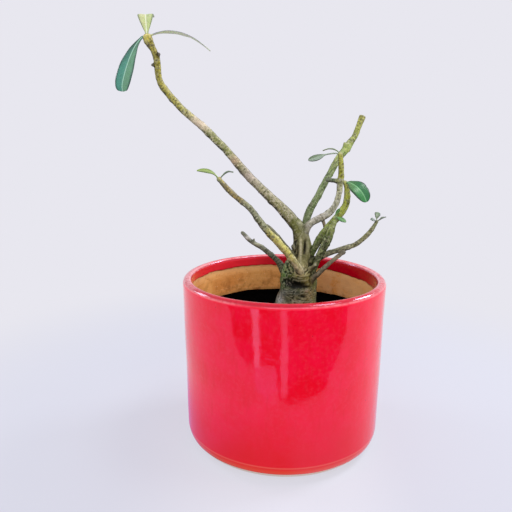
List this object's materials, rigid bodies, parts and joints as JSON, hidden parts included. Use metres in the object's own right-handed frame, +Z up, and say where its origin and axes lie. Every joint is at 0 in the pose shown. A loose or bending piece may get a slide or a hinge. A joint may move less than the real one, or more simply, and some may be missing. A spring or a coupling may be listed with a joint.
{
  "type": "potted desert rose plant",
  "caption": "Young desert rose with a swollen foot and pruned bare branches with sparse leaves, growing in a round red glazed clay pot filled with dark soil.",
  "frame": {"origin": "centre of the pot's flat underside, on the pot's axis, where it stands", "axes": "+Z up along the pot's axis; -Y is the front; the long branch leans to -X"},
  "size_m": [0.182, 0.14, 0.2933],
  "materials": {
    "red_glaze": "gloss",
    "dark_soil": "matte",
    "grey_green_bark": "matte",
    "leaf_green": "satin"
  },
  "bodies": {
    "root": {"pot": "red_glaze", "soil": "dark_soil", "caudex_and_branches": "grey_green_bark", "leaf_long_hanging": "leaf_green", "leaf_long_upright": "leaf_green", "leaf_long_arching": "leaf_green", "leaf_curved_long": "leaf_green", "leaf_curved_short": "leaf_green", "leaf_fork_spoon": "leaf_green", "leaf_fork_narrow": "leaf_green", "leaf_round": "leaf_green", "leaf_sprig_side": "leaf_green", "leaf_sprig_up": "leaf_green", "leaf_low_fan": "leaf_green", "leaf_low_point": "leaf_green", "leaf_low_left": "leaf_green"}
  },
  "joints": []
}
